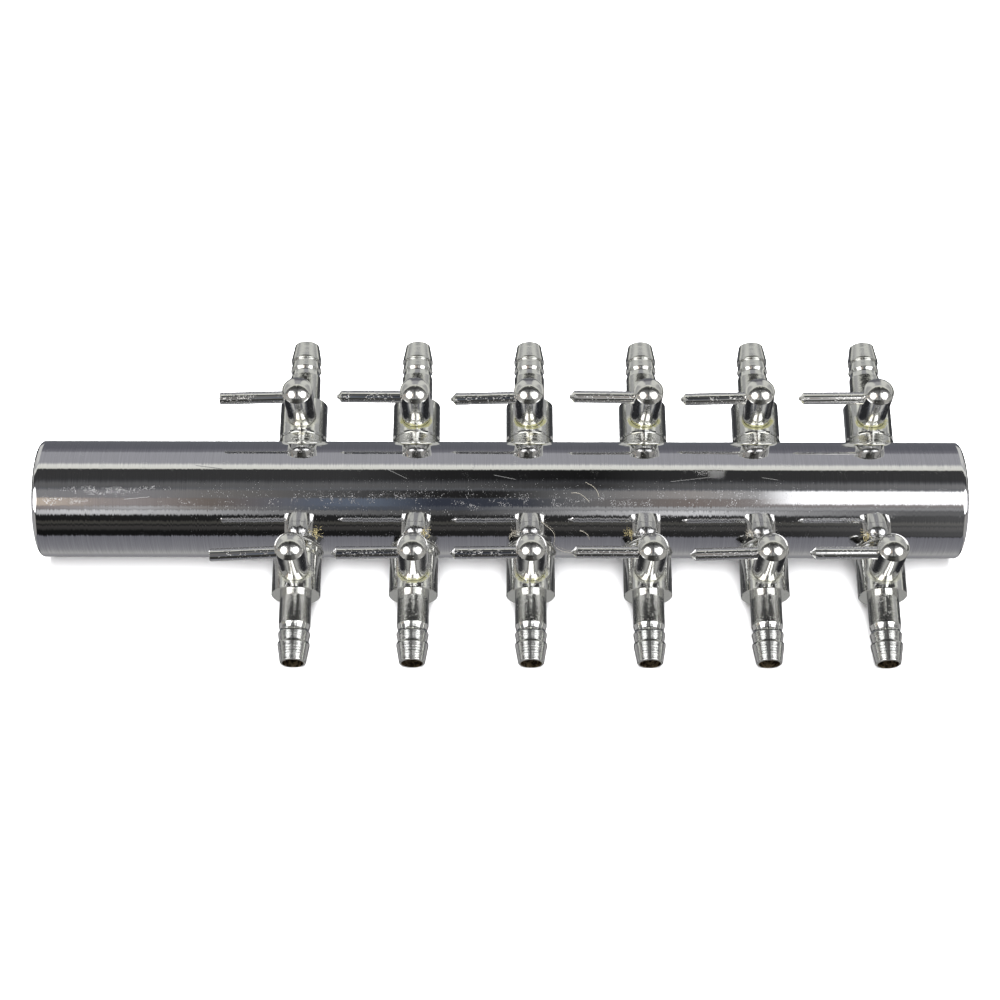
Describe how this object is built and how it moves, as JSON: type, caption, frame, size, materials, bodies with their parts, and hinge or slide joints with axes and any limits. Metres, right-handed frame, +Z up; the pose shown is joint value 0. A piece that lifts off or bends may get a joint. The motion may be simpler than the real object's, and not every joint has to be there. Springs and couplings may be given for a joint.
{
  "type": "air manifold with lever cocks",
  "caption": "Chrome-plated air distribution tube, open at one end, with a row of small lever cocks and hose barbs along each side.",
  "frame": {"origin": "on the surface it lies on, under the middle of the tube", "axes": "+X along the tube away from its open end, +Z up; it lies on the tube and on the front barbs"},
  "size_m": [0.159, 0.0598, 0.0278],
  "materials": {
    "tube_chrome": "chrome plate, light scratches",
    "end_chrome": "chrome plate",
    "body_chrome": "turned and plated",
    "plug_chrome": "polished and plated",
    "lever_chrome": "drawn and plated",
    "screw_steel": "plain steel"
  },
  "bodies": {
    "manifold": {"tube": "tube_chrome", "end_plug": "end_chrome", "valve_body_front_1": "body_chrome", "valve_body_front_2": "body_chrome", "valve_body_front_3": "body_chrome", "valve_body_front_4": "body_chrome", "valve_body_front_5": "body_chrome", "valve_body_front_6": "body_chrome", "valve_body_rear_1": "body_chrome", "valve_body_rear_2": "body_chrome", "valve_body_rear_3": "body_chrome", "valve_body_rear_4": "body_chrome", "valve_body_rear_5": "body_chrome", "valve_body_rear_6": "body_chrome"},
    "key_front_1": {"plug_front_1": "plug_chrome", "lever_front_1": "lever_chrome", "plug_screw_front_1": "screw_steel"},
    "key_front_2": {"plug_front_2": "plug_chrome", "lever_front_2": "lever_chrome", "plug_screw_front_2": "screw_steel"},
    "key_front_3": {"plug_front_3": "plug_chrome", "lever_front_3": "lever_chrome", "plug_screw_front_3": "screw_steel"},
    "key_front_4": {"plug_front_4": "plug_chrome", "lever_front_4": "lever_chrome", "plug_screw_front_4": "screw_steel"},
    "key_front_5": {"plug_front_5": "plug_chrome", "lever_front_5": "lever_chrome", "plug_screw_front_5": "screw_steel"},
    "key_front_6": {"plug_front_6": "plug_chrome", "lever_front_6": "lever_chrome", "plug_screw_front_6": "screw_steel"},
    "key_rear_1": {"plug_rear_1": "plug_chrome", "lever_rear_1": "lever_chrome", "plug_screw_rear_1": "screw_steel"},
    "key_rear_2": {"plug_rear_2": "plug_chrome", "lever_rear_2": "lever_chrome", "plug_screw_rear_2": "screw_steel"},
    "key_rear_3": {"plug_rear_3": "plug_chrome", "lever_rear_3": "lever_chrome", "plug_screw_rear_3": "screw_steel"},
    "key_rear_4": {"plug_rear_4": "plug_chrome", "lever_rear_4": "lever_chrome", "plug_screw_rear_4": "screw_steel"},
    "key_rear_5": {"plug_rear_5": "plug_chrome", "lever_rear_5": "lever_chrome", "plug_screw_rear_5": "screw_steel"},
    "key_rear_6": {"plug_rear_6": "plug_chrome", "lever_rear_6": "lever_chrome", "plug_screw_rear_6": "screw_steel"}
  },
  "joints": [
    {"name": "lever_turn_front_1", "type": "hinge", "parent": "manifold", "child": "key_front_1", "pos_m": [-0.0348, -0.01408, 0.00625], "axis": [-0.0087, -0.2639, 0.9645], "range_deg": [0, 90]},
    {"name": "lever_turn_front_2", "type": "hinge", "parent": "manifold", "child": "key_front_2", "pos_m": [-0.0148, -0.01408, 0.00625], "axis": [0.0175, -0.2639, 0.9644], "range_deg": [0, 90]},
    {"name": "lever_turn_front_3", "type": "hinge", "parent": "manifold", "child": "key_front_3", "pos_m": [0.0052, -0.01408, 0.00625], "axis": [-0.0087, -0.2639, 0.9645], "range_deg": [0, 90]},
    {"name": "lever_turn_front_4", "type": "hinge", "parent": "manifold", "child": "key_front_4", "pos_m": [0.0252, -0.01408, 0.00625], "axis": [0.0087, -0.2639, 0.9645], "range_deg": [0, 90]},
    {"name": "lever_turn_front_5", "type": "hinge", "parent": "manifold", "child": "key_front_5", "pos_m": [0.0452, -0.01408, 0.00625], "axis": [-0.0087, -0.2639, 0.9645], "range_deg": [0, 90]},
    {"name": "lever_turn_front_6", "type": "hinge", "parent": "manifold", "child": "key_front_6", "pos_m": [0.0652, -0.01408, 0.00625], "axis": [-0.0087, -0.2639, 0.9645], "range_deg": [0, 90]},
    {"name": "lever_turn_rear_1", "type": "hinge", "parent": "manifold", "child": "key_rear_1", "pos_m": [-0.0348, 0.01408, 0.01395], "axis": [0.0087, 0.2639, -0.9645], "range_deg": [0, 90]},
    {"name": "lever_turn_rear_2", "type": "hinge", "parent": "manifold", "child": "key_rear_2", "pos_m": [-0.0148, 0.01408, 0.01395], "axis": [-0.0087, 0.2639, -0.9645], "range_deg": [0, 90]},
    {"name": "lever_turn_rear_3", "type": "hinge", "parent": "manifold", "child": "key_rear_3", "pos_m": [0.0052, 0.01408, 0.01395], "axis": [0.0262, 0.2638, -0.9642], "range_deg": [0, 90]},
    {"name": "lever_turn_rear_4", "type": "hinge", "parent": "manifold", "child": "key_rear_4", "pos_m": [0.0252, 0.01408, 0.01395], "axis": [-0.0175, 0.2639, -0.9644], "range_deg": [0, 90]},
    {"name": "lever_turn_rear_5", "type": "hinge", "parent": "manifold", "child": "key_rear_5", "pos_m": [0.0452, 0.01408, 0.01395], "axis": [0.0523, 0.2636, -0.9632], "range_deg": [0, 90]},
    {"name": "lever_turn_rear_6", "type": "hinge", "parent": "manifold", "child": "key_rear_6", "pos_m": [0.0652, 0.01408, 0.01395], "axis": [0.0175, 0.2639, -0.9644], "range_deg": [0, 90]}
  ]
}
